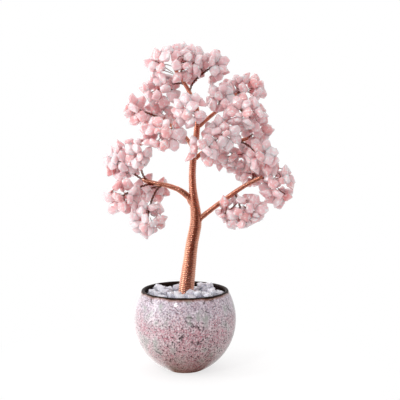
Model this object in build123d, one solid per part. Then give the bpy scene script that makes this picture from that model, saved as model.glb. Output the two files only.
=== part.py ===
from build123d import *

import math
import os
import random

import numpy as np

# Pot: a ball-shaped glazed bowl with a small flat foot and a drawn-in rounded lip.
POT_FOOT_RADIUS = 13.0
POT_BELLY_RADIUS = 38.0
POT_BELLY_HEIGHT = 38.0
POT_RIM_RADIUS = 32.5
POT_HEIGHT = 60.5
POT_WALL = 3.5
POT_FLOOR = 6.0
POT_LIP = 2.6

# Filling: cast plaster holds the trunk, and loose quartz chips hide the plaster.
PLASTER_HEIGHT = 52.0
PLASTER_SHRINKAGE = 0.2
GRAVEL_LENGTH = 7.4
GRAVEL_WIDTH = 6.0
GRAVEL_THICKNESS = 4.6
GRAVEL_GAP = 0.1
GRAVEL_WALL_GAP = 0.3
GRAVEL_DROP_STEP = 0.25
GRAVEL_PROUD = 2.0
GRAVEL_LAYERS = (64, 56, 48, 40)

# Crown: the tree's rise above the rim, and its width and depth, which place every limb and spray.
TREE_RISE = 184.0
CROWN_WIDTH = 142.0
CROWN_DEPTH = 105.0

# Trunk: a bundle of copper wires, thickest at the pot, with its foot cast into the plaster.
TRUNK_RADIUS = 4.0
TRUNK_FOOT_HEIGHT = 14.0
TRUNK_SECTIONS = 22

# Binding: one copper wire wound round the trunk from the gravel up to the first fork.
BINDING_WIRE = 1.0
BINDING_GAP = 0.3
BINDING_TURNS = 24
BINDING_LEAD = 3.5
BINDING_START = 1.5

# Branches, and the thinner twig that carries each spray of stone flowers.
BRANCH_RADIUS = 2.0
BRANCH_SECTIONS = 9
TWIG_FOOT_RADIUS = 0.85
TWIG_TIP_RADIUS = 0.65
TWIG_SECTIONS = 6
SPRAY_REACH = 10.0

# Flower: chips strung on a wire ring, held by the stem that the same wire makes.
STRING_WIRE = 0.7
RING_RADIUS = 3.8
STEM_SPACING = 1.1
STEM_SEAT_GAP = 0.3
STEM_BACK = 3.6
STRING_GAP = 0.25
FLOWER_RETRY_STEP = 1.2

# Stone chip: tumbled rose quartz, drilled across near its narrow end.
STONE_LENGTH = 9.0
STONE_WIDTH = 7.0
STONE_THICKNESS = 4.6
STONE_HOLE_CLEARANCE = 0.15
STONE_GAP = 0.12
HOLE_OVERRUN = 2.0

# Shape tables, as shares of the sizes above.
GOLDEN_ANGLE = math.pi * (3 - math.sqrt(5))
STONE_JITTER_SHARE = 0.2
STONE_SIZE_SHARES = (1.0, 0.86, 0.72, 0.6)
STONE_SWIVELS = (0, 25, -25, 50, -50)
PETALS = (5, 4, 5, 4)

# A chip's corners: along its length from the hole, across its width and through its thickness.
STONE_CORNER_SHARES = (
    (-0.24, 0.15, 0.10),
    (-0.24, -0.15, -0.10),
    (0.24, 0.50, 0.42),
    (0.20, -0.50, 0.50),
    (0.20, 0.50, -0.50),
    (0.26, -0.50, -0.42),
    (0.74, 0.26, -0.12),
    (0.72, -0.26, 0.16),
)

# Trunk stations above its foot: place across, in depth and up the rise, then girth.
TRUNK_SHARES = (
    (0.008, 0.000, 0.012, 1.12),
    (0.024, 0.000, 0.110, 0.94),
    (0.039, 0.000, 0.200, 0.84),
    (0.058, 0.000, 0.280, 0.80),
    (0.049, 0.006, 0.350, 0.72),
    (0.039, 0.012, 0.430, 0.60),
    (0.044, 0.015, 0.530, 0.54),
    (0.064, 0.010, 0.660, 0.46),
    (0.058, 0.000, 0.740, 0.38),
)
TRUNK_FOOT_SHARE = -0.015
BINDING_TOP_SHARE = 0.245

# Branch stations across, in depth and up the rise; then the girths at both ends.
BRANCH_SHARES = {
    "right_branch": (((0.052, 0.000, 0.268), (0.110, -0.02, 0.312), (0.190, -0.04, 0.361),
                      (0.290, -0.06, 0.417), (0.400, -0.06, 0.462)), 0.88, 0.55),
    "left_branch": (((0.046, 0.008, 0.338), (0.016, 0.004, 0.381), (-0.02, -0.01, 0.404),
                     (-0.094, -0.02, 0.424), (-0.22, 0.000, 0.448)), 1.05, 0.55),
    "middle_branch": (((0.046, 0.015, 0.520), (0.120, 0.050, 0.566), (0.220, 0.050, 0.592),
                       (0.330, 0.030, 0.610)), 0.62, 0.45),
    "upper_left_branch": (((0.048, 0.015, 0.560), (0.010, 0.040, 0.610), (-0.05, 0.060, 0.650),
                           (-0.13, 0.070, 0.690)), 0.62, 0.45),
    "upper_right_branch": (((0.063, 0.010, 0.650), (0.120, 0.050, 0.690), (0.200, 0.060, 0.740),
                            (0.270, 0.050, 0.790)), 0.60, 0.42),
    "top_branch": (((0.058, 0.000, 0.740), (0.030, -0.02, 0.785), (0.006, -0.03, 0.823),
                    (-0.03, -0.03, 0.860), (-0.055, -0.04, 0.905)), 0.60, 0.42),
}

# Sprays: the limb and the share of its length where the twig leaves, the middle of the spray
# across, in depth and up the rise, its half extents as shares of the reach, and its flowers.
SPRAY_SHARES = {
    "top": ("top_branch", 0.80, (-0.052, -0.05, 0.908), (1.65, 1.15, 0.95), 12),
    "top_back": ("top_branch", 0.62, (0.035, 0.16, 0.905), (0.80, 0.75, 0.80), 5),
    "top_left": ("top_branch", 0.46, (-0.122, 0.04, 0.808), (1.00, 0.95, 0.75), 5),
    "top_right": ("top_branch", 0.26, (0.140, 0.08, 0.893), (0.70, 0.75, 0.60), 4),
    "upper_right": ("upper_right_branch", 0.92, (0.305, 0.18, 0.800), (1.25, 1.05, 0.75), 7),
    "centre_right": ("upper_right_branch", 0.40, (0.182, 0.00, 0.772), (0.60, 0.75, 0.55), 4),
    "right_shoulder": ("upper_right_branch", 0.66, (0.305, -0.12, 0.712), (1.20, 1.05, 0.65), 6),
    "far_left": ("upper_left_branch", 0.95, (-0.235, 0.04, 0.722), (0.65, 0.60, 0.40), 3),
    "upper_left": ("upper_left_branch", 0.75, (-0.145, 0.20, 0.695), (1.05, 0.95, 0.75), 5),
    "left_shoulder": ("upper_left_branch", 0.50, (-0.108, -0.17, 0.630), (1.15, 0.95, 0.70), 6),
    "centre": ("trunk", 0.93, (0.032, -0.20, 0.730), (0.80, 0.75, 0.75), 5),
    "middle": ("middle_branch", 0.55, (0.185, -0.14, 0.632), (1.05, 1.00, 0.60), 5),
    "right": ("middle_branch", 0.92, (0.370, 0.12, 0.637), (0.80, 0.95, 0.70), 5),
    "front": ("middle_branch", 0.25, (0.095, -0.24, 0.580), (0.70, 0.65, 0.35), 3),
    "lower_middle": ("middle_branch", 0.45, (0.262, 0.18, 0.527), (1.15, 0.95, 0.60), 5),
    "right_low": ("middle_branch", 0.75, (0.390, -0.10, 0.540), (0.70, 0.80, 0.75), 4),
    "left_hang": ("left_branch", 0.86, (-0.232, -0.06, 0.558), (0.45, 0.70, 0.85), 4),
    "left_outer": ("left_branch", 0.95, (-0.325, 0.10, 0.512), (0.85, 0.95, 0.95), 6),
    "left_tip": ("left_branch", 0.71, (-0.322, -0.08, 0.385), (0.90, 0.85, 0.65), 5),
    "left_inner": ("left_branch", 0.46, (-0.185, 0.16, 0.402), (0.85, 0.80, 0.50), 4),
    "left_bottom": ("left_branch", 0.60, (-0.190, -0.10, 0.300), (0.90, 0.85, 0.85), 6),
    "right_tip": ("right_branch", 0.94, (0.478, -0.02, 0.432), (0.85, 0.90, 1.15), 7),
    "lower_right": ("right_branch", 0.58, (0.290, -0.08, 0.322), (1.45, 0.95, 0.80), 9),
    "right_inner": ("right_branch", 0.78, (0.358, 0.16, 0.460), (0.65, 0.70, 0.55), 4),
}

rng = random.Random(16)


# Small helpers for directions, straight-sided bodies and the room between them.
def unit(vector):
    return vector / np.linalg.norm(vector)


def across(direction):
    least = np.eye(3)[np.argmin(np.abs(direction))]
    return unit(np.cross(direction, least))


def crown_place(x_share, y_share, z_share):
    return np.array([x_share * CROWN_WIDTH, y_share * CROWN_DEPTH, POT_HEIGHT + z_share * TREE_RISE])


class Body:
    """A convex straight-sided body: corners, outward face normals, edge directions and owner."""

    def __init__(self, corners, normals, edges, owner):
        self.corners = np.array(corners)
        self.normals = np.array(normals)
        self.edges = np.array(edges)
        self.owner = owner
        self.middle = self.corners.mean(axis=0)
        self.extent = np.linalg.norm(self.corners - self.middle, axis=1).max()


def room_along(one, two, axes):
    far_side = (one.corners @ axes.T).max(axis=0)
    near_side = (two.corners @ axes.T).min(axis=0)
    return (near_side - far_side).max()


def are_apart(one, two, gap):
    """True where a face of either body, or an edge of each, shows the gap between them."""
    axes = np.vstack([one.normals, -two.normals, unit(two.middle - one.middle)])
    if room_along(one, two, axes) > gap:
        return True
    axes = np.cross(one.edges[:, None], two.edges[None]).reshape(-1, 3)
    lengths = np.linalg.norm(axes, axis=1)
    axes = axes[lengths > np.finfo(np.float32).eps]
    axes = axes / np.linalg.norm(axes, axis=1)[:, None]
    return len(axes) > 0 and room_along(one, two, np.vstack([axes, -axes])) > gap


class Space:
    """The bodies placed so far, so that each new piece can be tried before it is kept."""

    def __init__(self):
        self.bodies = []
        self.middles = np.zeros((0, 3))
        self.extents = np.zeros(0)

    def add(self, body):
        self.bodies.append(body)
        self.middles = np.vstack([self.middles, body.middle])
        self.extents = np.append(self.extents, body.extent)

    def is_clear(self, body, gap, skip=()):
        reach = self.extents + body.extent + gap
        distances = np.linalg.norm(self.middles - body.middle, axis=1)
        for index in np.nonzero(distances < reach)[0]:
            other = self.bodies[index]
            if other.owner in skip:
                continue
            if not are_apart(body, other, gap):
                return False
        return True


def hull_faces(corners):
    """The triangles round a set of corners, each with its outward normal, and their edges."""
    triangles = []
    normals = []
    count = len(corners)
    for first in range(count):
        for second in range(first + 1, count):
            for third in range(second + 1, count):
                normal = np.cross(corners[second] - corners[first], corners[third] - corners[first])
                normal = unit(normal)
                heights = (corners - corners[first]) @ normal
                others = np.delete(heights, [first, second, third])
                if others.max() < 0:
                    triangles.append((first, second, third))
                    normals.append(normal)
                elif others.min() > 0:
                    triangles.append((first, third, second))
                    normals.append(-normal)
    pairs = {tuple(sorted((loop[turn], loop[turn - 1]))) for loop in triangles for turn in range(3)}
    edges = [unit(corners[second] - corners[first]) for first, second in sorted(pairs)]
    return triangles, np.array(normals), np.array(edges)


def flat_sided_solid(corners, loops):
    faces = []
    for loop in loops:
        places = [Vector(*corners[index]) for index in loop]
        faces.append(Face(Wire.make_polygon(places, close=True)))
    return Solid(Shell(faces))


# Pot, plaster and the bowl side that both follow.
def bowl_side(foot, belly, rim):
    lower = TangentArc(belly, foot, tangent=(0, -1))
    upper = TangentArc(belly, rim, tangent=(0, 1))
    return lower, upper


def make_pot():
    lip_height = POT_HEIGHT - POT_LIP / 2
    inner_rim = POT_RIM_RADIUS - POT_LIP
    inner_belly = POT_BELLY_RADIUS - POT_WALL
    belly = (POT_BELLY_RADIUS, POT_BELLY_HEIGHT)
    outer = bowl_side((POT_FOOT_RADIUS, 0), belly, (POT_RIM_RADIUS, lip_height))
    inner = bowl_side((POT_FOOT_RADIUS, POT_FLOOR), (inner_belly, POT_BELLY_HEIGHT), (inner_rim, lip_height))
    lip = ThreePointArc(
        (POT_RIM_RADIUS, lip_height), (POT_RIM_RADIUS - POT_LIP / 2, POT_HEIGHT), (inner_rim, lip_height)
    )
    bottom = Polyline((POT_FOOT_RADIUS, POT_FLOOR), (0, POT_FLOOR), (0, 0), (POT_FOOT_RADIUS, 0))
    profile = make_face([*outer, lip, *inner, bottom])
    return revolve(Plane.XZ * profile, Axis.Z)


def make_plaster(trunk):
    gap = PLASTER_SHRINKAGE
    foot = (POT_FOOT_RADIUS, POT_FLOOR + gap)
    belly = (POT_BELLY_RADIUS - POT_WALL - gap, POT_BELLY_HEIGHT)
    rim = (POT_RIM_RADIUS - POT_LIP - gap, POT_HEIGHT - POT_LIP / 2)
    sides = bowl_side(foot, belly, rim)
    ends = Polyline(rim, (0, rim[1]), (0, foot[1]), foot)
    cast = revolve(Plane.XZ * make_face([*sides, ends]), Axis.Z)
    cast = split(cast, Plane.XY.offset(PLASTER_HEIGHT), keep=Keep.BOTTOM)
    return cast - trunk


# Limbs: round tapered bundles lofted along a smooth path.
class Limb:
    """A path with a girth along it, its solid, and the straight-sided bodies that stand for it."""

    def __init__(self, path, shares, radii, sections, owner, sleeve=0):
        self.path = path
        self.shares = shares
        self.radii = radii
        self.sections = sections
        self.owner = owner
        self.sleeve = sleeve

    def place(self, share):
        return np.array(tuple(self.path.position_at(share)))

    def heading(self, share):
        return unit(np.array(tuple(self.path.tangent_at(share))))

    def radius(self, share):
        return float(np.interp(share, self.shares, self.radii))

    def solid(self):
        outlines = []
        side = across(self.heading(0))
        for share in np.linspace(0, 1, self.sections):
            heading = self.heading(share)
            side = unit(side - heading * (side @ heading))
            plane = Plane(tuple(self.place(share)), x_dir=tuple(side), z_dir=tuple(heading))
            outlines.append(plane * Circle(self.radius(share)))
        return loft(outlines)

    def bodies(self):
        shares = np.linspace(0, 1, 2 * self.sections)
        for low, high in zip(shares, shares[1:]):
            heading = unit(self.place(high) - self.place(low))
            side = across(heading)
            other = np.cross(heading, side)
            corners = []
            normals = [heading, -heading]
            for turn in np.arange(8) * math.pi / 4:
                spoke = side * math.cos(turn) + other * math.sin(turn)
                half_turn = turn + math.pi / 8
                normals.append(side * math.cos(half_turn) + other * math.sin(half_turn))
                for share in (low, high):
                    girth = (self.radius(share) + self.sleeve) / math.cos(math.pi / 8)
                    corners.append(self.place(share) + spoke * girth)
            yield Body(corners, normals, [heading], self.owner)


def stations_to_shares(places):
    steps = np.linalg.norm(np.diff(places, axis=0), axis=1)
    lengths = np.concatenate([[0], np.cumsum(steps)])
    return lengths / lengths[-1]


def make_trunk_limb():
    foot = np.array([TRUNK_FOOT_SHARE * CROWN_WIDTH, 0, TRUNK_FOOT_HEIGHT])
    places = [foot] + [crown_place(*row[:3]) for row in TRUNK_SHARES]
    radii = [TRUNK_RADIUS] + [row[3] * TRUNK_RADIUS for row in TRUNK_SHARES]
    path = Spline(*[tuple(place) for place in places])
    sleeve = BINDING_GAP + BINDING_WIRE
    return Limb(path, stations_to_shares(np.array(places)), radii, TRUNK_SECTIONS, "trunk", sleeve)


def make_branch_limb(name):
    stations, foot_girth, tip_girth = BRANCH_SHARES[name]
    places = [crown_place(*row) for row in stations]
    path = Spline(*[tuple(place) for place in places])
    radii = [foot_girth * BRANCH_RADIUS, tip_girth * BRANCH_RADIUS]
    return Limb(path, [0, 1], radii, BRANCH_SECTIONS, name)


# Binding: quarter turns round the trunk, each a pair of tangent arcs.
def biarc(start, start_heading, end, end_heading):
    span = end - start
    headings = start_heading + end_heading
    square = 2 * (start_heading @ end_heading) - 2
    linear = -2 * (span @ headings)
    reach = (-linear - math.sqrt(linear * linear - 4 * square * (span @ span))) / (2 * square)
    middle = (start + start_heading * reach + end - end_heading * reach) / 2
    middle_heading = unit(end - end_heading * reach - start - start_heading * reach)
    first = TangentArc(tuple(start), tuple(middle), tangent=tuple(start_heading))
    second = TangentArc(tuple(middle), tuple(end), tangent=tuple(middle_heading))
    return [first, second]


def share_at_height(limb, height):
    low, high = 0.0, 1.0
    while high - low > np.finfo(float).eps * 16:
        middle = (low + high) / 2
        if limb.place(middle)[2] < height:
            low = middle
        else:
            high = middle
    return low


def make_binding(limb):
    start_share = share_at_height(limb, POT_HEIGHT + BINDING_START)
    end_share = share_at_height(limb, POT_HEIGHT + BINDING_TOP_SHARE * TREE_RISE)

    def place(turns):
        share = start_share + (end_share - start_share) * turns / BINDING_TURNS
        heading = limb.heading(share)
        side = unit(np.array([1, 0, 0]) - heading * heading[0])
        other = np.cross(heading, side)
        distance = limb.radius(share) + BINDING_GAP + BINDING_WIRE / 2
        turn = 2 * math.pi * turns
        return limb.place(share) + distance * (side * math.cos(turn) + other * math.sin(turn))

    def heading(turns):
        tiny = 1 / 3600
        return unit(place(turns + tiny) - place(turns - tiny))

    up = np.array([0.0, 0.0, 1.0])
    quarter = 1 / 4
    stations = np.arange(0, BINDING_TURNS + quarter / 2, quarter)
    lead_turn = 1 / 12
    foot = place(-lead_turn) - up * BINDING_LEAD
    ground = np.array([foot[0], foot[1], PLASTER_HEIGHT])
    top_heading = limb.heading(end_share)
    top = place(BINDING_TURNS + lead_turn) + top_heading * BINDING_LEAD
    finish = top + top_heading * BINDING_WIRE
    runs = [Line(tuple(ground), tuple(foot))]
    runs += biarc(foot, up, place(0), heading(0))
    for low, high in zip(stations, stations[1:]):
        runs += biarc(place(low), heading(low), place(high), heading(high))
    runs += biarc(place(BINDING_TURNS), heading(BINDING_TURNS), top, top_heading)
    runs.append(Line(tuple(top), tuple(finish)))
    path = Wire([run.edge() for run in runs])
    section = Plane(tuple(ground), z_dir=tuple(up)) * Circle(BINDING_WIRE / 2)
    print("least gap of the binding to itself", round(self_gap(runs), 3))
    return sweep(section, path)


def self_gap(runs):
    points = []
    lengths = []
    travelled = 0.0
    for run in runs:
        for share in (0, 0.25, 0.5, 0.75):
            points.append(tuple(run.position_at(share)))
            lengths.append(travelled + share * run.length)
        travelled += run.length
    points = np.array(points)
    lengths = np.array(lengths)
    distances = np.linalg.norm(points[:, None] - points[None], axis=2)
    distances[np.abs(lengths[:, None] - lengths[None]) < math.pi * TRUNK_RADIUS] = np.inf
    return distances.min() - BINDING_WIRE


# String wire: a three-sided bent wire with mitred corners.
def wire_rings(places):
    headings = [unit(after - before) for before, after in zip(places, places[1:])]
    side = across(headings[0])
    other = np.cross(headings[0], side)
    ring = []
    for turn in np.arange(3) * math.tau / 3:
        spoke = side * math.cos(turn) + other * math.sin(turn)
        ring.append(places[0] + spoke * STRING_WIRE / 2)
    rings = [np.array(ring)]
    for index, place in enumerate(places[1:]):
        heading = headings[index]
        following = headings[min(index + 1, len(headings) - 1)]
        mitre = unit(heading + following)
        lengths = ((place - rings[-1]) @ mitre) / (heading @ mitre)
        rings.append(rings[-1] + lengths[:, None] * heading)
    return rings


def wire_solid(rings):
    corners = np.vstack(rings)
    loops = [(2, 1, 0)]
    for index in range(len(rings) - 1):
        base = 3 * index
        for first in range(3):
            second = (first + 1) % 3
            loops.append((base + first, base + second, base + second + 3, base + first + 3))
    last = 3 * (len(rings) - 1)
    loops.append((last, last + 1, last + 2))
    return flat_sided_solid(corners, loops)


def wire_bodies(rings, owner):
    for index, (low, high) in enumerate(zip(rings, rings[1:])):
        corners = np.vstack([low, high])
        heading = unit(high.mean(axis=0) - low.mean(axis=0))
        normals = [heading, -heading]
        edges = [heading]
        for first in range(3):
            edge = low[(first + 1) % 3] - low[first]
            edges.append(unit(edge))
            normals.append(unit(np.cross(edge, high[first] - low[first])))
        yield Body(corners, normals, edges, (*owner, index))


# Stone chips.
def chip_shape(length, width, thickness):
    corners = []
    for along, wide, thick in STONE_CORNER_SHARES:
        shake = [1 + rng.uniform(-STONE_JITTER_SHARE, STONE_JITTER_SHARE) for _ in range(3)]
        corners.append((along * shake[0] * length, wide * shake[1] * width, thick * shake[2] * thickness))
    corners = np.array(corners)
    return corners, *hull_faces(corners)


def drilled(stone, ring):
    """Cuts the wire's hole: the wire's own section, wider by the clearance, through the stone."""
    low, high = ring
    heading = unit(high.mean(axis=0) - low.mean(axis=0))
    widen = 1 + 2 * STONE_HOLE_CLEARANCE / STRING_WIRE
    corners = []
    for end, push in ((low, -HOLE_OVERRUN), (high, HOLE_OVERRUN)):
        middle = end.mean(axis=0)
        square = end - ((end - middle) @ heading)[:, None] * heading
        corners.append(middle + (square - middle) * widen + heading * push)
    loops = [(2, 1, 0), (0, 1, 4, 3), (1, 2, 5, 4), (2, 0, 3, 5), (3, 4, 5)]
    return stone - flat_sided_solid(np.vstack(corners), loops)


# Flowers: a ring wire on its stem, then a chip on each side of the ring.
def flower_wire(root, middle, facing, turn, petals):
    side = across(facing)
    other = np.cross(facing, side)
    corner_radius = RING_RADIUS / math.cos(math.pi / petals)
    corners = []
    for index in range(petals + 1):
        angle = turn + math.tau * index / petals
        corners.append(middle + corner_radius * (side * math.cos(angle) + other * math.sin(angle)))
    closing = corners[-1] - corners[-2]
    corners[-1] = corners[-1] - unit(closing) * 1.5 * STRING_WIRE
    neck = middle - facing * STEM_BACK
    return [root, neck, *corners]


def stem_root(twig, back, neck):
    """Where a stem leaves its twig: on the side that faces the flower, or off the tip."""
    share = 1 - back / twig.path.length
    axis_place = twig.place(share)
    heading = twig.heading(share)
    lean = neck - axis_place
    spoke = lean - heading * (lean @ heading)
    distance = twig.radius(share) + STEM_SEAT_GAP + STRING_WIRE / 2
    return axis_place + unit(spoke) * distance


def place_flower(space, twig, back, middle, facing, petals, owner):
    for lift in range(3):
        lifted = middle + facing * lift * FLOWER_RETRY_STEP
        neck = lifted - facing * STEM_BACK
        root = stem_root(twig, back, neck)
        for step in range(6):
            turn = rng.uniform(0, math.tau)
            rings = wire_rings(flower_wire(root, lifted, facing, turn, petals))
            bodies = list(wire_bodies(rings, owner))
            clear = space.is_clear(bodies[0], STRING_GAP, skip=(twig.owner,))
            if clear and all(space.is_clear(body, STRING_GAP) for body in bodies[1:]):
                for body in bodies:
                    space.add(body)
                return rings
    return None


def place_chips(space, rings, facing, petals, owner):
    chips = []
    centre = np.mean([ring.mean(axis=0) for ring in rings[2:2 + petals]], axis=0)
    for index in range(petals):
        low, high = rings[2 + index], rings[3 + index]
        wire = unit(high.mean(axis=0) - low.mean(axis=0))
        outward = np.cross(wire, facing)
        corners, triangles, normals, edges = chip_shape(STONE_LENGTH, STONE_WIDTH, STONE_THICKNESS)
        lean = rng.uniform(-15, 40)
        hole = centre + outward * RING_RADIUS
        pose = (hole, outward, wire, facing, lean)
        chip = fit_chip(space, (corners, normals, edges), pose, (*owner, index + 2))
        if chip is not None:
            space.add(chip)
            chips.append(drilled(flat_sided_solid(chip.corners, triangles), (low, high)))
    return chips


def fit_chip(space, shape, pose, own_wire):
    """Turns the chip about its wire, then makes it smaller, until it clears everything placed."""
    corners, normals, edges = shape
    hole, outward, wire, facing, lean = pose
    for share in STONE_SIZE_SHARES:
        for swivel in STONE_SWIVELS:
            angle = math.radians(lean + swivel)
            along = outward * math.cos(angle) + facing * math.sin(angle)
            frame = np.array([along, wire, np.cross(along, wire)])
            places = hole + share * corners @ frame
            body = Body(places, normals @ frame, edges @ frame, ("chip", *own_wire))
            if space.is_clear(body, STONE_GAP, skip=(own_wire,)):
                return body
    return None


# Sprays: flowers spread evenly round the tip of a twig.
def make_twig(limb, leave_share, middle, owner):
    start = limb.place(leave_share)
    span = np.linalg.norm(middle - start)
    lead = start + limb.heading(leave_share) * span / 3
    swing = middle - unit(middle - lead) * span / 4
    path = Bezier(tuple(start), tuple(lead), tuple(swing), tuple(middle))
    return Limb(path, [0, 1], [TWIG_FOOT_RADIUS, TWIG_TIP_RADIUS], TWIG_SECTIONS, owner)


def spray_facings(count):
    facings = []
    first_turn = rng.uniform(0, math.tau)
    for index in range(count):
        depth = 1 - (2 * index + 1) / count
        breadth = math.sqrt(1 - depth * depth)
        turn = first_turn + index * GOLDEN_ANGLE
        facings.append(np.array([breadth * math.cos(turn), -depth, breadth * math.sin(turn)]))
    return facings


def make_spray_wires(space, name, twig, middle, reaches, count):
    flowers = []
    ahead = twig.heading(1)
    facings = sorted(spray_facings(count), key=lambda facing: -(facing @ ahead))
    for index, facing in enumerate(facings):
        petals = PETALS[rng.randrange(len(PETALS))]
        place = middle + facing * np.array(reaches) * SPRAY_REACH
        owner = ("flower", name, index)
        rings = place_flower(space, twig, index * STEM_SPACING, place, facing, petals, owner)
        if rings is not None:
            flowers.append((rings, facing, petals, owner))
    return flowers


# Gravel: each chip is dropped straight down until it rests on what lies below.
def make_gravel(space):
    stones = []
    mouth = POT_RIM_RADIUS - POT_LIP - GRAVEL_WALL_GAP
    top = PLASTER_HEIGHT + GRAVEL_LENGTH * (len(GRAVEL_LAYERS) + 1)
    for layer, count in enumerate(GRAVEL_LAYERS):
        for index in range(count):
            turn = index * GOLDEN_ANGLE + layer
            corners, triangles, normals, edges = chip_shape(GRAVEL_LENGTH, GRAVEL_WIDTH, GRAVEL_THICKNESS)
            frame = tumble()
            corners = (corners - corners.mean(axis=0)) @ frame
            spoke = np.array([math.cos(turn), math.sin(turn), 0])
            widest = mouth - (corners @ spoke).max()
            spot = spoke * widest * math.sqrt((index + 0.5) / count) + np.array([0, 0, top])
            owner = ("gravel", layer, index)
            stone = dropped(space, corners + spot, normals @ frame, edges @ frame, owner)
            if stone is not None:
                space.add(stone)
                stones.append(flat_sided_solid(stone.corners, triangles))
    return stones


def tumble():
    spin = rng.uniform(0, math.tau)
    tip = math.radians(rng.uniform(-35, 35))
    along = np.array([math.cos(spin) * math.cos(tip), math.sin(spin) * math.cos(tip), math.sin(tip)])
    wide = unit(np.cross([0, 0, 1], along))
    return np.array([along, wide, np.cross(along, wide)])


def dropped(space, corners, normals, edges, owner):
    rested = None
    while corners[:, 2].min() > PLASTER_HEIGHT + GRAVEL_GAP:
        body = Body(corners, normals, edges, owner)
        if not space.is_clear(body, GRAVEL_GAP):
            break
        rested = body
        corners = corners - np.array([0, 0, GRAVEL_DROP_STEP])
    if rested is None or rested.corners[:, 2].max() > POT_HEIGHT + GRAVEL_PROUD:
        return None
    return rested


def save(name, solids):
    export_step(Compound(children=list(solids), label=name), os.path.join("parts", name + ".step"))


os.makedirs("parts", exist_ok=True)
space = Space()

# Pot, trunk and filling.
trunk_limb = make_trunk_limb()
trunk = trunk_limb.solid()
limbs = {"trunk": trunk_limb}
limb_solids = {"trunk": trunk}
save("pot", make_pot().solids())
save("plaster", make_plaster(trunk).solids())
save("trunk_binding", make_binding(trunk_limb).solids())

# Branches, each fitted to the trunk's round side.
for name in BRANCH_SHARES:
    limbs[name] = make_branch_limb(name)
    limb_solids[name] = limbs[name].solid() - trunk
for name, limb in limbs.items():
    save(name, limb_solids[name].solids())
    for body in limb.bodies():
        space.add(body)

# Gravel round the trunk.
save("gravel", make_gravel(space))

# Twigs first, then every flower's wire, then the chips, so that each finds the room that is left.
twigs = {}
for name, (limb_name, leave_share, middle_shares, reaches, count) in SPRAY_SHARES.items():
    middle = crown_place(*middle_shares)
    twigs[name] = make_twig(limbs[limb_name], leave_share, middle, ("twig", name))
    for body in twigs[name].bodies():
        space.add(body)
sprays = {}
for name, (limb_name, leave_share, middle_shares, reaches, count) in SPRAY_SHARES.items():
    sprays[name] = make_spray_wires(space, name, twigs[name], crown_place(*middle_shares), reaches, count)
chip_total = 0
flower_total = 0
for name, flowers in sprays.items():
    twig = twigs[name].solid() - limb_solids[SPRAY_SHARES[name][0]]
    wires = [*twig.solids()]
    chips = []
    for rings, facing, petals, owner in flowers:
        wires.append(wire_solid(rings))
        chips += place_chips(space, rings, facing, petals, owner)
    save(name + "_wires", wires)
    save(name + "_stones", [solid for chip in chips for solid in chip.solids()])
    chip_total += len(chips)
    flower_total += len(flowers)
print("flowers", flower_total, "chips", chip_total)
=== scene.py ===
import math
import random

import bpy
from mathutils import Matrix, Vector


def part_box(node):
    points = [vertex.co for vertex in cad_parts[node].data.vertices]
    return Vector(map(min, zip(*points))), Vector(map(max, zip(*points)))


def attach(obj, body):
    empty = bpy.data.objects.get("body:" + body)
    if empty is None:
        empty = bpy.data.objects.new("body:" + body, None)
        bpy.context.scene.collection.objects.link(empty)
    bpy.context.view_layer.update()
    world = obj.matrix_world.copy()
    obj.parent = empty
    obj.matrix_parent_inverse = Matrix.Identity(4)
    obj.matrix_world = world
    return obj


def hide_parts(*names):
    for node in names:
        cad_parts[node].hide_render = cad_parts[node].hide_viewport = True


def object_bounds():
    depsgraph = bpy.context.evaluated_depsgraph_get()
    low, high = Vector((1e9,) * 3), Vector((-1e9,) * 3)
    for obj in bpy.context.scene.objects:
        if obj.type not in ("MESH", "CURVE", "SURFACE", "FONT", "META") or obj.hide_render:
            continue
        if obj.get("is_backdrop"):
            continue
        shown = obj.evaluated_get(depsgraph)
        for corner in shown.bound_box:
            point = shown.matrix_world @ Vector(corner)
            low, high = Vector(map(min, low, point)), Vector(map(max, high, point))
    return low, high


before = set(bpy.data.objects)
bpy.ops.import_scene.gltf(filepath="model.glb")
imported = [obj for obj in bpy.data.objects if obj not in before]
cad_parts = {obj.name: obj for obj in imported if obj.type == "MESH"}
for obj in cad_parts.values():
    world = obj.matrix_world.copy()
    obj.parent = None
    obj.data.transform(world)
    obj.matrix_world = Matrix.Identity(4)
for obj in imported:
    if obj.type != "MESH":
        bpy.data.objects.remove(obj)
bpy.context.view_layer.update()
bpy.ops.object.select_all(action="DESELECT")

# Pot: a ball-shaped stoneware bowl, thrown on a wheel and dipped in a reactive glaze that broke
# into pink flecks over pale grey as it cooled. The glaze ran thin at the lip, which fired brown.
MM = 0.001
POT_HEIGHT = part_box("pot")[1].z
PATCH = 11 * MM
STREAK = 2.4 * MM
FLECK = 1.1 * MM
MOTTLE = 1.3 * MM
CRYSTAL = 1.1 * MM
SPECK = 1.7 * MM
CRACK_CELL = 30 * MM
CRACK_SHIFT = 12 * MM
WOBBLE = 9 * MM
PEEL_DEPTH = 0.4 * MM
LILAC_ABOVE = 54 * MM
BLUSH_BELOW = 34 * MM
WARM_BELOW = 3 * MM
GLAZED_ABOVE = 1.6 * MM
WIPED_BELOW = 0.9 * MM
LIP_WAVE = 3.0 * MM
RUST_FROM = POT_HEIGHT - 1.7 * MM
BROWN_FROM = POT_HEIGHT - 0.1 * MM
BROWN_ABOVE = POT_HEIGHT + 0.9 * MM


def colour(text):
    """The linear colour that an sRGB hex value stands for."""
    shares = [int(text[place:place + 2], 16) / 255 for place in (1, 3, 5)]
    linear = [s / 12.92 if s <= 0.04045 else ((s + 0.055) / 1.055) ** 2.4 for s in shares]
    return (*linear, 1.0)


def add(tree, kind, inputs, **settings):
    """Adds a node: its settings by name, and its inputs as values or as sockets to link."""
    made = tree.nodes.new(kind)
    for name, value in settings.items():
        setattr(made, name, value)
    for place, value in inputs.items():
        if isinstance(value, bpy.types.NodeSocket):
            tree.links.new(value, made.inputs[place])
        else:
            made.inputs[place].default_value = value
    return made


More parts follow.
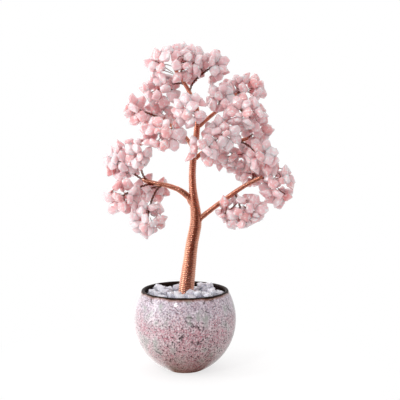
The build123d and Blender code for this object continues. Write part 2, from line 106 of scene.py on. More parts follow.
def new_finish(name, fixed):
    """A new material, its tree, its shader with the fixed values set, and Object coordinates."""
    finish = bpy.data.materials.new(name)
    finish.use_nodes = True
    tree = finish.node_tree
    shader = tree.nodes["Principled BSDF"]
    for socket, value in fixed.items():
        shader.inputs[socket].default_value = value
    place = add(tree, "ShaderNodeTexCoord", {}).outputs["Object"]
    return finish, tree, shader, place


def give(piece, finish):
    """Makes a finish the only one of a piece or a CAD node."""
    piece.data.materials.clear()
    piece.data.materials.append(finish)


# Reactive glaze over stoneware: pale lilac-grey glass, full of fine pink flecks and iron specks.
glaze, tree, shader, place = new_finish("reactive_glaze_on_stoneware", {
    "IOR": 1.5, "Specular IOR Level": 0.2, "Coat Roughness": 0.16})
# The flecks lie in short streaks, so their noise is bent by a second, wider one.
bend = add(tree, "ShaderNodeTexNoise", {"Vector": place, "Scale": 1 / STREAK, "Detail": 2.0})
bent = add(tree, "ShaderNodeVectorMath", {0: bend.outputs["Color"], 1: (STREAK,) * 3},
           operation="MULTIPLY")
streaked = add(tree, "ShaderNodeVectorMath", {0: place, 1: bent.outputs[0]},
               operation="ADD").outputs[0]
flecks = add(tree, "ShaderNodeTexNoise", {"Vector": streaked, "Scale": 1 / FLECK,
                                          "Detail": 3.0, "Roughness": 0.6})
fleck_edge = add(tree, "ShaderNodeMapRange", {"Value": flecks.outputs["Fac"],
                                              "From Min": 0.46, "From Max": 0.56},
                 interpolation_type="SMOOTHSTEP")
patches = add(tree, "ShaderNodeTexNoise", {"Vector": place, "Scale": 1 / PATCH,
                                           "Detail": 4.0, "Roughness": 0.62})
pink_patch = add(tree, "ShaderNodeMapRange", {"Value": patches.outputs["Fac"], "From Min": 0.40,
                                              "From Max": 0.58, "To Min": 0.16},
                 interpolation_type="SMOOTHSTEP")
grey_patch = add(tree, "ShaderNodeMapRange", {"Value": patches.outputs["Fac"],
                                              "From Min": 0.44, "From Max": 0.34})
mottles = add(tree, "ShaderNodeTexNoise", {"Vector": streaked, "Scale": 1 / MOTTLE,
                                           "Detail": 2.0})
mottle = add(tree, "ShaderNodeMapRange", {"Value": mottles.outputs["Fac"],
                                          "From Min": 0.34, "From Max": 0.64})
# The belly has the pink ground and most of the flecks. Above it the glaze is a plainer lilac.
height = add(tree, "ShaderNodeSeparateXYZ", {0: place}).outputs["Z"]
belly = add(tree, "ShaderNodeMapRange", {"Value": height, "From Min": LILAC_ABOVE,
                                         "From Max": BLUSH_BELOW, "To Min": 0.35},
            interpolation_type="SMOOTHSTEP")
pink_here = add(tree, "ShaderNodeMath", {0: pink_patch.outputs[0], 1: belly.outputs[0]},
                operation="MULTIPLY")
fleck = add(tree, "ShaderNodeMath", {0: pink_here.outputs[0], 1: fleck_edge.outputs[0]},
            operation="MULTIPLY")
blush = add(tree, "ShaderNodeMix", {0: mottle.outputs[0], 6: colour("#7A6368"),
                                    7: colour("#E8D8DC")}, data_type="RGBA")
lilac = add(tree, "ShaderNodeMix", {0: mottle.outputs[0], 6: colour("#8F8494"),
                                    7: colour("#DED6E4")}, data_type="RGBA")
ground = add(tree, "ShaderNodeMix", {0: belly.outputs[0], 6: lilac.outputs[2],
                                     7: blush.outputs[2]}, data_type="RGBA")
greyed = add(tree, "ShaderNodeMix", {0: grey_patch.outputs[0], 6: ground.outputs[2],
                                     7: colour("#A5A6A2")}, data_type="RGBA")
pink = add(tree, "ShaderNodeMix", {0: fleck.outputs[0], 6: greyed.outputs[2],
                                   7: colour("#BC6F80")}, data_type="RGBA")
# Iron specks come through from the clay, and white crystals lie between them.
crystals = add(tree, "ShaderNodeTexNoise", {"Vector": streaked, "Scale": 1 / CRYSTAL,
                                            "Detail": 2.0})
crystal = add(tree, "ShaderNodeMapRange", {"Value": crystals.outputs["Fac"], "From Min": 0.57,
                                           "From Max": 0.67, "To Max": 0.75},
              interpolation_type="SMOOTHSTEP")
whitened = add(tree, "ShaderNodeMix", {0: crystal.outputs[0], 6: pink.outputs[2],
                                       7: colour("#E6E0DF")}, data_type="RGBA")
specks = add(tree, "ShaderNodeTexVoronoi", {"Vector": place, "Scale": 1 / SPECK}, feature="F1")
speck_size = add(tree, "ShaderNodeSeparateColor", {0: specks.outputs["Color"]})
speck_reach = add(tree, "ShaderNodeMapRange", {"Value": speck_size.outputs[0], "From Min": 0.25,
                                               "From Max": 1.0, "To Min": 0.0, "To Max": 0.48})
speck_gap = add(tree, "ShaderNodeMath", {0: speck_reach.outputs[0],
                                         1: specks.outputs["Distance"]}, operation="SUBTRACT")
speck = add(tree, "ShaderNodeMapRange", {"Value": speck_gap.outputs[0], "From Min": 0.0,
                                         "From Max": 0.08, "To Max": 0.9})
speck_here = add(tree, "ShaderNodeMath", {0: speck.outputs[0], 1: belly.outputs[0]},
                 operation="MULTIPLY")
specked = add(tree, "ShaderNodeMix", {0: speck_here.outputs[0], 6: whitened.outputs[2],
                                      7: colour("#463840")}, data_type="RGBA")
# A few long crazing lines opened as the pot cooled.
craze_bend = add(tree, "ShaderNodeTexNoise", {"Vector": place, "Scale": 1 / WOBBLE,
                                              "Detail": 3.0})
craze_shift = add(tree, "ShaderNodeVectorMath", {0: craze_bend.outputs["Color"],
                                                 1: (CRACK_SHIFT,) * 3}, operation="MULTIPLY")
craze_place = add(tree, "ShaderNodeVectorMath", {0: place, 1: craze_shift.outputs[0]},
                  operation="ADD")
crazing = add(tree, "ShaderNodeTexVoronoi", {"Vector": craze_place.outputs[0],
                                             "Scale": 1 / CRACK_CELL},
              feature="DISTANCE_TO_EDGE")
craze_line = add(tree, "ShaderNodeMapRange", {"Value": crazing.outputs["Distance"],
                                              "From Min": 0.0, "From Max": 0.018,
                                              "To Min": 1.0, "To Max": 0.0})
craze_where = add(tree, "ShaderNodeMapRange", {"Value": craze_bend.outputs["Fac"],
                                               "From Min": 0.49, "From Max": 0.55,
                                               "To Max": 0.9})
craze = add(tree, "ShaderNodeMath", {0: craze_line.outputs[0], 1: craze_where.outputs[0]},
            operation="MULTIPLY")
crazed = add(tree, "ShaderNodeMix", {0: craze.outputs[0], 6: specked.outputs[2],
                                     7: colour("#3C2E32")}, data_type="RGBA")
# Towards the foot the glaze is darker and warmer, and the foot itself was wiped bare.
darkening_towards_foot = add(tree, "ShaderNodeMapRange", {"Value": height, "From Min": BLUSH_BELOW,
                                         "From Max": WARM_BELOW, "To Max": 0.85},
            interpolation_type="SMOOTHSTEP")
foot_darkened = add(tree, "ShaderNodeMix", {0: darkening_towards_foot.outputs[0], 6: crazed.outputs[2],
                                     7: colour("#DCCFC2")},
             data_type="RGBA", blend_type="MULTIPLY")
foot = add(tree, "ShaderNodeMapRange", {"Value": height, "From Min": GLAZED_ABOVE,
                                        "From Max": WIPED_BELOW})
footed = add(tree, "ShaderNodeMix", {0: foot.outputs[0], 6: foot_darkened.outputs[2],
                                     7: colour("#8C7A6A")}, data_type="RGBA")
# The lip and the inside fired brown, with rust where the brown thins into the glaze.
lip_wave = add(tree, "ShaderNodeTexNoise", {"Vector": place, "Scale": 1 / WOBBLE, "Detail": 4.0})
lip_height = add(tree, "ShaderNodeMath", {0: lip_wave.outputs["Fac"], 1: LIP_WAVE, 2: height},
                 operation="MULTIPLY_ADD")
rust = add(tree, "ShaderNodeMapRange", {"Value": lip_height.outputs[0], "From Min": RUST_FROM,
                                        "From Max": BROWN_ABOVE, "To Max": 0.9},
           interpolation_type="SMOOTHSTEP")
rusted = add(tree, "ShaderNodeMix", {0: rust.outputs[0], 6: footed.outputs[2],
                                     7: colour("#84491F")}, data_type="RGBA")
flat_place = add(tree, "ShaderNodeVectorMath", {0: place, 1: (1, 1, 0)}, operation="MULTIPLY")
outward = add(tree, "ShaderNodeVectorMath", {0: flat_place.outputs[0]}, operation="NORMALIZE")
facing = add(tree, "ShaderNodeNewGeometry", {})
inside = add(tree, "ShaderNodeVectorMath", {0: outward.outputs[0], 1: facing.outputs["Normal"]},
             operation="DOT_PRODUCT")
inner = add(tree, "ShaderNodeMapRange", {"Value": inside.outputs["Value"], "From Min": 0.1,
                                         "From Max": -0.15})
brown = add(tree, "ShaderNodeMapRange", {"Value": lip_height.outputs[0], "From Min": BROWN_FROM,
                                         "From Max": BROWN_ABOVE},
            interpolation_type="SMOOTHSTEP")
browned = add(tree, "ShaderNodeMath", {0: brown.outputs[0], 1: inner.outputs[0]},
              operation="MAXIMUM")
lipped = add(tree, "ShaderNodeMix", {0: browned.outputs[0], 6: rusted.outputs[2],
                                     7: colour("#220F07")}, data_type="RGBA")
gloss = add(tree, "ShaderNodeMapRange", {"Value": browned.outputs[0], "To Min": 0.36,
                                         "To Max": 0.62})
glassy = add(tree, "ShaderNodeMapRange", {"Value": browned.outputs[0], "To Min": 0.7,
                                          "To Max": 0.0})
peel = add(tree, "ShaderNodeBump", {"Height": flecks.outputs["Fac"], "Strength": 0.10,
                                    "Distance": PEEL_DEPTH})
tree.links.new(lipped.outputs[2], shader.inputs["Base Color"])
tree.links.new(gloss.outputs[0], shader.inputs["Roughness"])
tree.links.new(glassy.outputs[0], shader.inputs["Coat Weight"])
tree.links.new(peel.outputs[0], shader.inputs["Normal"])
give(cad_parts["pot"], glaze)

# Plaster: the plug cast in the pot round the trunk's foot, levelled by pouring. It shows only in
# the chinks between the quartz chips.
PORE = 1.5 * MM
PORE_DEPTH = 0.4 * MM
# Cast plaster: dull and chalky, with fine pores where air was caught.
plaster, tree, shader, place = new_finish("cast_plaster", {"Roughness": 0.85})
pores = add(tree, "ShaderNodeTexNoise", {"Vector": place, "Scale": 1 / PORE, "Detail": 4.0})
chalk = add(tree, "ShaderNodeMix", {0: pores.outputs["Fac"], 6: colour("#EFECE6"),
                                    7: colour("#D5D0C8")}, data_type="RGBA")
pitted = add(tree, "ShaderNodeBump", {"Height": pores.outputs["Fac"], "Strength": 0.4,
                                      "Distance": PORE_DEPTH})
tree.links.new(chalk.outputs[2], shader.inputs["Base Color"])
tree.links.new(pitted.outputs[0], shader.inputs["Normal"])
give(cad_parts["plaster"], plaster)

# Trunk: a bundle of copper wires that leans and kinks at the first fork. One copper wire is wound
# closely round it from the plaster to the crown, and stands off the bundle most below the fork.
TARNISH = 5 * MM
TRUNK_SLICE = 4 * MM
TRUNK_WIRE = 1.4 * MM
TRUNK_TURN_STEPS = 20
WIRE_FLATNESS = 0.7
WIRE_CORNERS = 6
SLEEVE = 0.85 * MM
SLEEVE_TAPER = 26 * MM
# Drawn copper: bright where it was handled, with a warm tarnish in patches.
copper, tree, shader, place = new_finish("drawn_copper_wire", {"Metallic": 1.0})
tarnish = add(tree, "ShaderNodeTexNoise", {"Vector": place, "Scale": 1 / TARNISH, "Detail": 3.0})
tone = add(tree, "ShaderNodeMix", {0: tarnish.outputs["Fac"], 6: colour("#F6C2AA"),
                                   7: colour("#D49074")}, data_type="RGBA")
handled = add(tree, "ShaderNodeMapRange", {"Value": tarnish.outputs["Fac"], "From Min": 0.3,
                                           "From Max": 0.7, "To Min": 0.2, "To Max": 0.32})
tree.links.new(tone.outputs[2], shader.inputs["Base Color"])
tree.links.new(handled.outputs[0], shader.inputs["Roughness"])


def pick(pieces):
    """Selects some pieces alone, with the first of them active."""
    bpy.ops.object.select_all(action="DESELECT")
    for piece in pieces:
        piece.select_set(True)
    bpy.context.view_layer.objects.active = pieces[0]


def open_mesh():
    """Goes into edit mode on the picked pieces, with all of their mesh selected."""
    bpy.ops.object.mode_set(mode="EDIT")
    bpy.ops.mesh.select_all(action="SELECT")


def close_mesh():
    """Goes back to object mode."""
    bpy.ops.object.mode_set(mode="OBJECT")


def dress(piece, finish):
    """Gives a finished piece its finish, and rides it with the tree."""
    give(piece, finish)
    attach(piece, "root")


def winding(line, pitch, steps, turn=0.0):
    """The steps of a wire wound on a limb: its place, its way outwards and the limb's heading."""
    lengths = [0.0]
    for first, second in zip(line, line[1:]):
        lengths.append(lengths[-1] + (second[0] - first[0]).length)
    spoke = Vector((0, -1, 0.1))
    wound = []
    segment = 0
    for number in range(int(lengths[-1] / pitch * steps) + 1):
        along = number * pitch / steps
        while segment < len(line) - 2 and lengths[segment + 1] < along:
            segment += 1
        share = (along - lengths[segment]) / (lengths[segment + 1] - lengths[segment])
        middle = line[segment][0].lerp(line[segment + 1][0], share)
        girth = line[segment][1] + (line[segment + 1][1] - line[segment][1]) * share
        before = line[max(segment - 1, 0)][0].lerp(line[segment][0], share)
        after = line[segment + 1][0].lerp(line[min(segment + 2, len(line) - 1)][0], share)
        heading = (after - before).normalized()
        spoke = (spoke - heading * spoke.dot(heading)).normalized()
        angle = turn + math.tau * number / steps
        outwards = spoke * math.cos(angle) + heading.cross(spoke) * math.sin(angle)
        wound.append((middle + outwards * girth, outwards, heading))
    return wound


def wire_mesh(name, runs, wide, high):
    """Wires with an oval section, wide along the limb and high off it, as one piece."""
    corners = []
    faces = []
    for run in runs:
        base = len(corners)
        for middle, outwards, heading in run:
            for corner in range(WIRE_CORNERS):
                angle = math.tau * corner / WIRE_CORNERS
                off_limb = outwards * high * math.cos(angle)
                corners.append(middle + off_limb + heading * wide * math.sin(angle))
        for ring in range(base, len(corners) - WIRE_CORNERS, WIRE_CORNERS):
            for corner in range(WIRE_CORNERS):
                near, far = ring + corner, ring + (corner + 1) % WIRE_CORNERS
                faces.append((near, far, far + WIRE_CORNERS, near + WIRE_CORNERS))
        faces.append(tuple(range(base, base + WIRE_CORNERS)))
        faces.append(tuple(reversed(range(len(corners) - WIRE_CORNERS, len(corners)))))
    mesh = bpy.data.meshes.new(name)
    mesh.from_pydata(corners, [], faces)
    piece = bpy.data.objects.new(name, mesh)
    bpy.context.scene.collection.objects.link(piece)
    pick([piece])
    open_mesh()
    bpy.ops.mesh.normals_make_consistent(inside=False)
    close_mesh()
    bpy.ops.object.shade_smooth()
    return piece


give(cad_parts["trunk"], copper)
slices = {}
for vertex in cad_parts["trunk"].data.vertices:
    slices.setdefault(round(vertex.co.z / TRUNK_SLICE), []).append(vertex.co)
trunk_line = []
for number in sorted(slices)[1:]:
    low, high = Vector(map(min, *slices[number])), Vector(map(max, *slices[number]))
    trunk_line.append(((low + high) / 2, (high.y - low.y) / 2))
binding_low, binding_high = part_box("trunk_binding")
covered = []
for middle, girth in trunk_line:
    above = min(max((middle.z - binding_high.z) / SLEEVE_TAPER, 0.0), 1.0)
    if middle.z > binding_low.z:
        covered.append((middle, girth + SLEEVE * (1 - above)))
wound = winding(covered, TRUNK_WIRE, TRUNK_TURN_STEPS)
trunk_winding = wire_mesh("trunk_winding", [wound], TRUNK_WIRE / 2,
                          TRUNK_WIRE / 2 * WIRE_FLATNESS)
dress(trunk_winding, copper)
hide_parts("trunk_binding")

# Branches: thinner bundles of the same wires, that leave the trunk at its forks and are wound in
# the same way, with finer wire, out to where their twigs part.
BRANCH_WIRE = 0.8 * MM
BRANCH_TURN_STEPS = 14
BRANCH_SHELL = 2.5 * MM


def limb_line(points, tip, step):
    """A limb's centres and girths from its tip, shell by shell of its points about that tip."""
    shells = {}
    for point in points:
        shells.setdefault(round((point - tip).length / step), []).append(point)
    line = []
    for number in sorted(shells):
        ring = shells[number]
        middle = sum(ring, Vector()) / len(ring)
        line.append((middle, sum((point - middle).length for point in ring) / len(ring)))
    return line


for name in ("right", "left", "middle", "upper_left", "upper_right", "top"):
    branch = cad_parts[name + "_branch"]
    give(branch, copper)
    points = [vertex.co for vertex in branch.data.vertices]
    trunk_side = min(points, key=lambda p: min((p - m).length for m, g in trunk_line))
    tip = max(points, key=lambda p: (p - trunk_side).length)
    line = limb_line(points, tip, BRANCH_SHELL)[1:]
    wound = winding(line, BRANCH_WIRE, BRANCH_TURN_STEPS)
    branch_winding = wire_mesh(name + "_branch_winding", [wound], BRANCH_WIRE / 2,
                               BRANCH_WIRE / 2 * WIRE_FLATNESS)
    dress(branch_winding, copper)

# Sprays: each is a twig of three twisted wires that ends in flowers. A flower is a ring of string
# wire, bent from its own stem, with four or five drilled chips of tumbled rose quartz strung on it.
CLOUD = 4 * MM
VEIN_AND_GLINT = 2.4 * MM
STAIN = 3 * MM
STRANDS = 3
# Three strands that touch each other fill a round twig when each has this share of its girth.
STRAND_SHARE = 0.464
TWIST = 7 * MM
TWIST_STEPS = 18
TWIG_SHELL = 1.5 * MM
# Rounding thins the stems, and this growth makes up for it.
STEM_GROWTH = 0.14 * MM
STONE_GROWTH = 0.9 * MM
STONE_EDGE = 0.6 * MM
# A stone's tint is drawn from 0 to 1 and raised to this power, so more stones are pale.
PALE_STONES = 1.4
MERGE = 0.001 * MM
chance = random.Random(11)

# Rose quartz: milky pink stone clouded inside, tumbled to a gloss; white veins and painted glints.
quartz, tree, shader, place = new_finish("tumbled_rose_quartz", {
    "IOR": 1.54, "Transmission Weight": 0.06, "Coat Weight": 0.6, "Coat Roughness": 0.06,
    "Subsurface Weight": 1.0, "Subsurface Scale": 6 * MM, "Subsurface Radius": (1.0, 0.7, 0.68)})
tint = add(tree, "ShaderNodeAttribute", {}, attribute_name="tint")
clouds = add(tree, "ShaderNodeTexNoise", {"Vector": place, "Scale": 1 / CLOUD,
                                          "Detail": 4.0, "Roughness": 0.6})
depth = add(tree, "ShaderNodeMath", {0: clouds.outputs["Fac"], 1: 0.6, 2: tint.outputs["Fac"]},
            operation="MULTIPLY_ADD")
depth_share = add(tree, "ShaderNodeMapRange", {"Value": depth.outputs[0], "From Min": 0.15,
                                               "From Max": 1.35})
rose = add(tree, "ShaderNodeValToRGB", {0: depth_share.outputs[0]})
rose.color_ramp.elements[0].color = colour("#FFD9DC")
rose.color_ramp.elements[1].color = colour("#F3ABAA")
for share, text in ((0.45, "#FCC8CC"), (0.8, "#F9BABC")):
    rose.color_ramp.elements.new(share).color = colour(text)
# The white is partly veins and partly painted glints: fine white specks where light would catch.
veins_and_glints = add(tree, "ShaderNodeTexNoise", {"Vector": place, "Scale": 1 / VEIN_AND_GLINT,
                                         "Detail": 5.0, "Distortion": 1.2})
vein_and_glint = add(tree, "ShaderNodeMapRange", {"Value": veins_and_glints.outputs["Fac"], "From Min": 0.50,
                                        "From Max": 0.62, "To Max": 0.85},
           interpolation_type="SMOOTHSTEP")
veined_and_glinted = add(tree, "ShaderNodeMix", {0: vein_and_glint.outputs[0], 6: rose.outputs[0],
                                     7: colour("#FFF0F1")}, data_type="RGBA")
polish = add(tree, "ShaderNodeMapRange", {"Value": clouds.outputs["Fac"], "From Min": 0.3,
                                          "From Max": 0.7, "To Min": 0.1, "To Max": 0.28})
tree.links.new(veined_and_glinted.outputs[2], shader.inputs["Base Color"])
tree.links.new(polish.outputs[0], shader.inputs["Roughness"])

# String wire: thin copper that darkened as it was bent and handled.
string, tree, shader, place = new_finish("tarnished_copper_string_wire", {
    "Metallic": 1.0, "Roughness": 0.36})
stain = add(tree, "ShaderNodeTexNoise", {"Vector": place, "Scale": 1 / STAIN, "Detail": 3.0})
stained = add(tree, "ShaderNodeMix", {0: stain.outputs["Fac"], 6: colour("#9A5A42"),
                                      7: colour("#4E2B21")}, data_type="RGBA")
tree.links.new(stained.outputs[2], shader.inputs["Base Color"])


def parted(node, name):
    """A copy of a node, merged from its loose triangles and parted into one object a solid."""
    copy = bpy.data.objects.new(name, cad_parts[node].data.copy())
    bpy.context.scene.collection.objects.link(copy)
    pick([copy])
    bpy.ops.mesh.customdata_custom_splitnormals_clear()
    open_mesh()
    bpy.ops.mesh.remove_doubles(threshold=MERGE)
    bpy.ops.mesh.separate(type="LOOSE")
    close_mesh()
    return sorted(bpy.context.selected_objects, key=lambda o: o.name)


def joined(pieces, name):
    """Some pieces joined into the first of them, under a new name."""
    pick(pieces)
    bpy.ops.object.join()
    pieces[0].name = pieces[0].data.name = name
    return pieces[0]


def tumbled(chips, name, growth, edge):
    """Chips filled to their hulls and worn at their edges, each with its own tint, as one piece."""
    pick(chips)
    open_mesh()
    bpy.ops.mesh.convex_hull(join_triangles=False)
    bpy.ops.mesh.dissolve_limited(angle_limit=math.radians(2))
    bpy.ops.mesh.select_all(action="SELECT")
    bpy.ops.transform.shrink_fatten(value=growth)
    bpy.ops.mesh.bevel(offset=edge, segments=1, affect="EDGES", clamp_overlap=True)
    close_mesh()
    for chip in chips:
        shade = chip.data.attributes.new("tint", "FLOAT", "POINT")
        own = chance.random() ** PALE_STONES
        shade.data.foreach_set("value", [own] * len(shade.data))
    piece = joined(chips, name)
    bpy.ops.object.shade_smooth()
    facets = piece.modifiers.new("facets", "WEIGHTED_NORMAL")
    bpy.ops.object.modifier_apply(modifier=facets.name)
    return piece


sprays = sorted(name[:-len("_stones")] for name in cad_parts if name.endswith("_stones"))
for spray in sprays:
    # The twig is the largest solid. Its far end from the stems is the one on the branch.
    solids = parted(spray + "_wires", spray + "_strung_wires")
    twig = max(solids, key=lambda o: len(o.data.vertices))
    stems = [solid for solid in solids if solid is not twig]
    points = [vertex.co.copy() for vertex in twig.data.vertices]
    stem_feet = [vertex.co.copy() for stem in stems for vertex in stem.data.vertices[:3]]
    trunk_side = max(points, key=lambda p: min((p - foot).length for foot in stem_feet))
    tip = max(points, key=lambda p: (p - trunk_side).length)
    line = limb_line(points, tip, TWIG_SHELL)
    girth = sum(g for m, g in line[1:-1]) / max(len(line) - 2, 1)
    strand = girth * STRAND_SHARE
    core = [(m, girth - strand) for m, g in line]
    strands = [winding(core, TWIST, TWIST_STEPS, number * math.tau / STRANDS)
               for number in range(STRANDS)]
    twisted = wire_mesh(spray + "_twig", strands, strand, strand)
    bpy.data.objects.remove(twig)
    stem = joined(stems, spray + "_stems")
    open_mesh()
    bpy.ops.mesh.tris_convert_to_quads(face_threshold=math.radians(60),
                                       shape_threshold=math.radians(120))
    close_mesh()
    rounder = stem.modifiers.new("round", "SUBSURF")
    rounder.levels = rounder.render_levels = 1
    bpy.ops.object.modifier_apply(modifier=rounder.name)
    open_mesh()
    bpy.ops.transform.shrink_fatten(value=STEM_GROWTH)
    close_mesh()
    bpy.ops.object.shade_smooth()
    wires = joined([stem, twisted], spray + "_strung_wires")
    dress(wires, string)
    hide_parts(spray + "_wires")
    chips = parted(spray + "_stones", spray + "_chip")
    stones = tumbled(chips, spray + "_rose_quartz", STONE_GROWTH, STONE_EDGE)
    dress(stones, quartz)
    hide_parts(spray + "_stones")

# Gravel: loose chips of clear and milky quartz, raked level over the plaster. Small chips lie in
# the gaps between the large ones, so that no plaster shows.
HAZE = 4 * MM
GRAVEL_GROWTH = 0.5 * MM
GRAVEL_EDGE = 0.4 * MM
SMALL_CHIPS = 110
SMALL_CHIP_SIZES = (0.55, 0.8)
SMALL_CHIP_LIFTS_IN_MM = (1.6, 3.2)
POT_ROOM = 2 * MM
TRUNK_ROOM = 2 * MM
BED_TOLERANCE = 0.1 * MM
GOLDEN_TURN = math.pi * (3 - math.sqrt(5))
# Milky quartz: broken clear stone, hazy white inside.
clear, tree, shader, place = new_finish("milky_quartz", {
    "IOR": 1.54, "Transmission Weight": 0.25, "Roughness": 0.18,
    "Subsurface Weight": 0.6, "Subsurface Scale": 2 * MM, "Subsurface Radius": (1, 1, 1)})
haze = add(tree, "ShaderNodeTexNoise", {"Vector": place, "Scale": 1 / HAZE, "Detail": 4.0})
milk = add(tree, "ShaderNodeMix", {0: haze.outputs["Fac"], 6: colour("#FAF8FF"),
                                   7: colour("#E2E3F4")}, data_type="RGBA")
tree.links.new(milk.outputs[2], shader.inputs["Base Color"])
bed_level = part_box("plaster")[1].z
bed = [v.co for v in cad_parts["plaster"].data.vertices
       if v.co.z > bed_level - BED_TOLERANCE]
bed_edge = max(point.xy.length for point in bed)
trunk_foot, trunk_girth = min(trunk_line, key=lambda c: abs(c[0].z - bed_level))
chips = parted("gravel", "gravel_chip")
small_chips = []
for number in range(SMALL_CHIPS):
    reach = (bed_edge - POT_ROOM) * math.sqrt((number + 0.5) / SMALL_CHIPS)
    angle = number * GOLDEN_TURN
    lift = chance.uniform(*SMALL_CHIP_LIFTS_IN_MM) * MM
    spot = Vector((reach * math.cos(angle), reach * math.sin(angle), bed_level + lift))
    pick([chips[number % len(chips)]])
    bpy.ops.object.duplicate()
    small = bpy.context.object
    bpy.ops.object.origin_set(type="ORIGIN_GEOMETRY")
    small.location = spot
    small.rotation_euler = [chance.uniform(0, math.tau) for axis in range(3)]
    small.scale = [chance.uniform(*SMALL_CHIP_SIZES)] * 3
    bpy.ops.object.transform_apply(location=True, rotation=True, scale=True)
    if (spot.xy - trunk_foot.xy).length < trunk_girth + TRUNK_ROOM:
        bpy.ops.object.delete()
    else:
        small_chips.append(small)
gravel = tumbled(chips + small_chips, "quartz_gravel", GRAVEL_GROWTH, GRAVEL_EDGE)
dress(gravel, clear)
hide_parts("gravel")

# Stage: white paper on the table of a plain studio, lit by soft boxes from the left, the front
# and above. The walls are white at the left and behind, and the room in front is unlit, which
# gives the copper its dark middle.
FRONT = (0.17, -0.985, 0)
LEFT_BEHIND = (-0.55, 0.6, 0.58)
WHITE = (1, 1, 1, 1)
PAPER_SIZE = 4
SHADOW_FULL = 0.06
SHADOW_END = 0.16
TREE_MIDDLE = Vector((0, 0, 0.12))


def mirrored(tree, way):
    """What is mirrored of the studio: white left and back, greyer right, dark front."""
    level_way = add(tree, "ShaderNodeVectorMath", {0: way, 1: (1, 1, 0)}, operation="MULTIPLY")
    unit_way = add(tree, "ShaderNodeVectorMath", {0: level_way.outputs[0]},
                   operation="NORMALIZE").outputs[0]
    ahead = add(tree, "ShaderNodeVectorMath", {0: unit_way, 1: FRONT}, operation="DOT_PRODUCT")
    front = add(tree, "ShaderNodeMapRange", {"Value": ahead.outputs["Value"],
                                             "From Min": 0.74, "From Max": 0.44})
    room = add(tree, "ShaderNodeMix", {0: front.outputs[0], 6: colour("#6B4030"), 7: WHITE},
               data_type="RGBA")
    part = add(tree, "ShaderNodeSeparateXYZ", {0: unit_way})
    side = add(tree, "ShaderNodeMapRange", {"Value": part.outputs["X"], "From Min": -0.2,
                                            "From Max": 0.4, "To Min": 1.65, "To Max": 0.8})
    lit_room = add(tree, "ShaderNodeVectorMath", {0: room.outputs[2], "Scale": side.outputs[0]},
                   operation="SCALE")
    return lit_room.outputs[0]


def seen_plainly(tree, rays):
    """Whether a ray comes from the camera, straight or through a stone."""
    seen = add(tree, "ShaderNodeMath", {0: rays.outputs["Is Camera Ray"],
                                        1: rays.outputs["Is Transmission Ray"]},
               operation="MAXIMUM")
    return seen.outputs[0]


world = bpy.data.worlds.new("studio")
bpy.context.scene.world = world
world.use_nodes = True
tree = world.node_tree
rays = add(tree, "ShaderNodeLightPath", {})
way = add(tree, "ShaderNodeTexCoord", {}).outputs["Generated"]
rise = add(tree, "ShaderNodeSeparateXYZ", {0: way})
overhead = add(tree, "ShaderNodeMapRange", {"Value": rise.outputs["Z"], "From Min": 0.45,
                                            "From Max": 0.85, "To Min": 1.0, "To Max": 0.8})
reflected = add(tree, "ShaderNodeVectorMath", {0: mirrored(tree, way),
                                               "Scale": overhead.outputs[0]}, operation="SCALE")
left_behind = add(tree, "ShaderNodeVectorMath", {0: way, 1: LEFT_BEHIND},
                  operation="DOT_PRODUCT")
backdrop = add(tree, "ShaderNodeMapRange", {"Value": left_behind.outputs["Value"],
                                            "From Min": -0.6, "From Max": 0.5,
                                            "To Min": 0.56, "To Max": 0.88})
ambient = add(tree, "ShaderNodeMix", {0: rays.outputs["Is Glossy Ray"], 6: backdrop.outputs[0],
                                      7: reflected.outputs[0]}, data_type="RGBA")
studio = add(tree, "ShaderNodeMix", {0: seen_plainly(tree, rays), 6: ambient.outputs[2],
                                     7: WHITE}, data_type="RGBA")
background = tree.nodes["Background"]
background.inputs["Strength"].default_value = 1.0
tree.links.new(studio.outputs[2], background.inputs["Color"])

# Studio paper: plain white to the camera, with the pot's soft shadow close to its foot.
bpy.ops.mesh.primitive_plane_add(size=PAPER_SIZE, location=(0, 0, 0))
floor = bpy.context.object
floor.name = "studio_floor"
floor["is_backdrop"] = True
paper, tree, shader, place = new_finish("studio_paper", {})
tree.nodes.remove(shader)
rays = add(tree, "ShaderNodeLightPath", {})
shade = add(tree, "ShaderNodeBsdfDiffuse", {"Color": (0.35, 0.35, 0.35, 1)})
glow = add(tree, "ShaderNodeEmission", {"Color": WHITE, "Strength": 0.7})
near = add(tree, "ShaderNodeAddShader", {0: shade.outputs[0], 1: glow.outputs[0]})
white = add(tree, "ShaderNodeEmission", {"Color": WHITE, "Strength": 1.0})
reach = add(tree, "ShaderNodeVectorMath", {0: place}, operation="LENGTH")
far = add(tree, "ShaderNodeMapRange", {"Value": reach.outputs["Value"], "From Min": SHADOW_FULL,
                                       "From Max": SHADOW_END}, interpolation_type="SMOOTHSTEP")
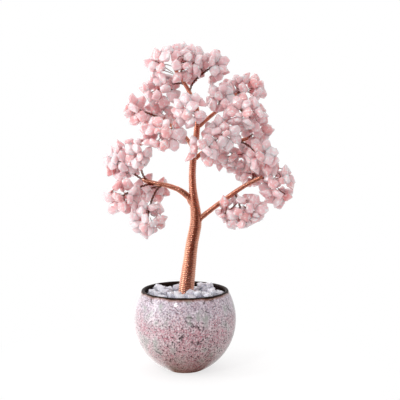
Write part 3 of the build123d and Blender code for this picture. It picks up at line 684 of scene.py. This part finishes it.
lit = add(tree, "ShaderNodeMixShader", {0: far.outputs[0], 1: near.outputs[0],
                                        2: white.outputs[0]})
matt = add(tree, "ShaderNodeBsdfDiffuse", {"Color": (0.75, 0.75, 0.75, 1)})
shine = add(tree, "ShaderNodeEmission", {"Color": mirrored(tree, place), "Strength": 1.0})
plain = add(tree, "ShaderNodeMixShader", {0: rays.outputs["Is Glossy Ray"], 1: matt.outputs[0],
                                          2: shine.outputs[0]})
both = add(tree, "ShaderNodeMixShader", {0: seen_plainly(tree, rays), 1: plain.outputs[0],
                                         2: lit.outputs[0]})
tree.links.new(both.outputs[0], tree.nodes["Material Output"].inputs["Surface"])
floor.data.materials.append(paper)


def softbox(name, place, size, power, shines=True):
    """An area lamp that faces the middle of the tree, and is mirrored itself if it shines."""
    lamp = bpy.data.lights.new(name, "AREA")
    lamp.shape = "RECTANGLE"
    lamp.size, lamp.size_y = size
    lamp.energy = power
    stand = bpy.data.objects.new(name, lamp)
    bpy.context.scene.collection.objects.link(stand)
    stand.location = place
    stand.visible_glossy = shines
    stand.rotation_euler = (TREE_MIDDLE - Vector(place)).to_track_quat("-Z", "Y").to_euler()


softbox("key_softbox", (-0.66, -0.59, 0.85), (0.8, 0.8), 0.8)
softbox("strip_softbox", (-0.8, -0.18, 0.16), (0.22, 0.7), 3.0)
softbox("front_softbox", (-0.15, -0.95, 0.45), (0.5, 0.5), 1.2, shines=False)
softbox("glint_softbox", (-0.4, -0.85, 0.7), (0.1, 0.1), 1.5)
softbox("top_softbox", (0.0, 0.3, 1.2), (0.8, 0.8), 0.6)

# The camera stands in front of the tree, as high as its crown, and looks down a little.
lens = bpy.data.cameras.new("camera")
lens.lens = 100
lens.sensor_width = 36
camera = bpy.data.objects.new("camera", lens)
bpy.context.scene.collection.objects.link(camera)
camera.location = (0.01118, -0.81307, 0.2303)
camera.rotation_euler = (math.radians(82.8), 0, 0)
bpy.context.scene.camera = camera
bpy.context.scene.view_settings.view_transform = "Standard"

low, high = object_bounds()
